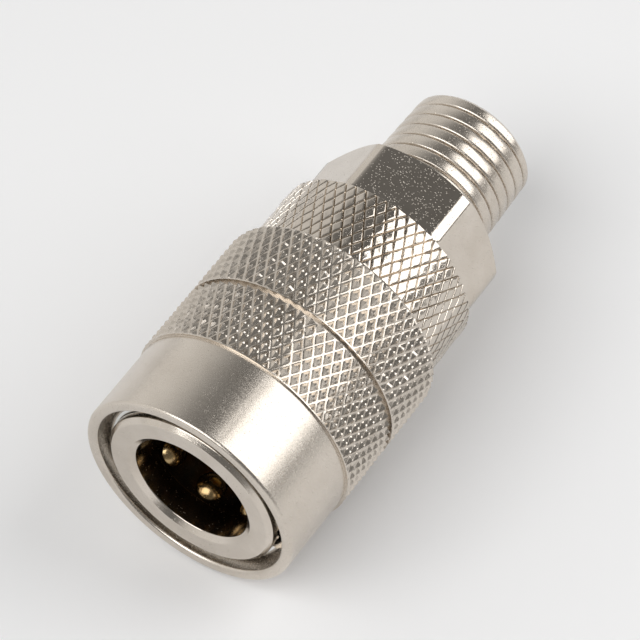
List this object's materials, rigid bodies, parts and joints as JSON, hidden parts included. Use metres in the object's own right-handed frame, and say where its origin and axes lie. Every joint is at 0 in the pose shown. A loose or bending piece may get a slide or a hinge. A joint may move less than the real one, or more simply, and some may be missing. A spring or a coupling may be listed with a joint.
{
  "type": "quick coupling socket",
  "caption": "Ball-lock quick coupling socket with a knurled sliding sleeve, a sprung shut-off valve, a wrench hexagon and a male taper pipe thread.",
  "frame": {"origin": "centre of the sleeve's rim, which is the mouth's end and the base that the socket stands on", "axes": "+Z along the axis from the mouth to the pipe thread; +X through a lock ball and a corner of the hexagon; -Y through the middle of one flat of the hexagon"},
  "size_m": [0.0234, 0.0234, 0.049],
  "materials": {
    "sleeve_nickel": "nickel-plated steel, turned and knurled",
    "body_nickel": "nickel-plated steel, turned",
    "rear_nickel": "nickel-plated steel, turned, knurled and milled",
    "ring_steel": "bright spring wire",
    "spring_steel": "drawn stainless wire",
    "ball_steel": "polished stainless",
    "seal_rubber": "moulded nitrile",
    "backup_plastic": "turned white fluoropolymer",
    "valve_brass": "turned brass"
  },
  "bodies": {
    "body": {"socket_body": "body_nickel", "rear_body": "rear_nickel", "snap_ring": "ring_steel", "sleeve_spring": "spring_steel", "plug_seal": "seal_rubber", "backup_ring": "backup_plastic", "valve_spring": "spring_steel", "valve_guide": "valve_brass", "tail_seal": "seal_rubber"},
    "sleeve": {"sleeve": "sleeve_nickel"},
    "valve": {"valve_nose": "valve_brass", "valve_seal": "seal_rubber", "valve_poppet": "valve_brass"},
    "ball_1": {"lock_ball_1": "ball_steel"},
    "ball_2": {"lock_ball_2": "ball_steel"},
    "ball_3": {"lock_ball_3": "ball_steel"},
    "ball_4": {"lock_ball_4": "ball_steel"},
    "ball_5": {"lock_ball_5": "ball_steel"},
    "ball_6": {"lock_ball_6": "ball_steel"},
    "ball_7": {"lock_ball_7": "ball_steel"},
    "ball_8": {"lock_ball_8": "ball_steel"}
  },
  "joints": [
    {"name": "sleeve_slide", "type": "slide", "parent": "body", "child": "sleeve", "axis": [0, 0, 1], "range_m": [0, 0.004], "stiffness_N_per_m": 1500, "springref_m": -0.006, "deforming": ["sleeve_spring"]},
    {"name": "valve_slide", "type": "slide", "parent": "body", "child": "valve", "axis": [0, 0, 1], "range_m": [0, 0.004], "stiffness_N_per_m": 800, "springref_m": -0.005, "deforming": ["valve_spring"]},
    {"name": "ball_1_lift", "type": "slide", "parent": "body", "child": "ball_1", "axis": [1, 0, 0], "range_m": [0, 0.00068]},
    {"name": "ball_2_lift", "type": "slide", "parent": "body", "child": "ball_2", "axis": [0.7071, 0.7071, 0], "range_m": [0, 0.00068]},
    {"name": "ball_3_lift", "type": "slide", "parent": "body", "child": "ball_3", "axis": [0, 1, 0], "range_m": [0, 0.00068]},
    {"name": "ball_4_lift", "type": "slide", "parent": "body", "child": "ball_4", "axis": [-0.7071, 0.7071, 0], "range_m": [0, 0.00068]},
    {"name": "ball_5_lift", "type": "slide", "parent": "body", "child": "ball_5", "axis": [-1, 0, 0], "range_m": [0, 0.00068]},
    {"name": "ball_6_lift", "type": "slide", "parent": "body", "child": "ball_6", "axis": [-0.7071, -0.7071, 0], "range_m": [0, 0.00068]},
    {"name": "ball_7_lift", "type": "slide", "parent": "body", "child": "ball_7", "axis": [0, -1, 0], "range_m": [0, 0.00068]},
    {"name": "ball_8_lift", "type": "slide", "parent": "body", "child": "ball_8", "axis": [0.7071, -0.7071, 0], "range_m": [0, 0.00068]}
  ],
  "couplings": [
    {"joint": "ball_1_lift", "follows": "sleeve_slide", "ratio": 0.17},
    {"joint": "ball_2_lift", "follows": "sleeve_slide", "ratio": 0.17},
    {"joint": "ball_3_lift", "follows": "sleeve_slide", "ratio": 0.17},
    {"joint": "ball_4_lift", "follows": "sleeve_slide", "ratio": 0.17},
    {"joint": "ball_5_lift", "follows": "sleeve_slide", "ratio": 0.17},
    {"joint": "ball_6_lift", "follows": "sleeve_slide", "ratio": 0.17},
    {"joint": "ball_7_lift", "follows": "sleeve_slide", "ratio": 0.17},
    {"joint": "ball_8_lift", "follows": "sleeve_slide", "ratio": 0.17}
  ]
}
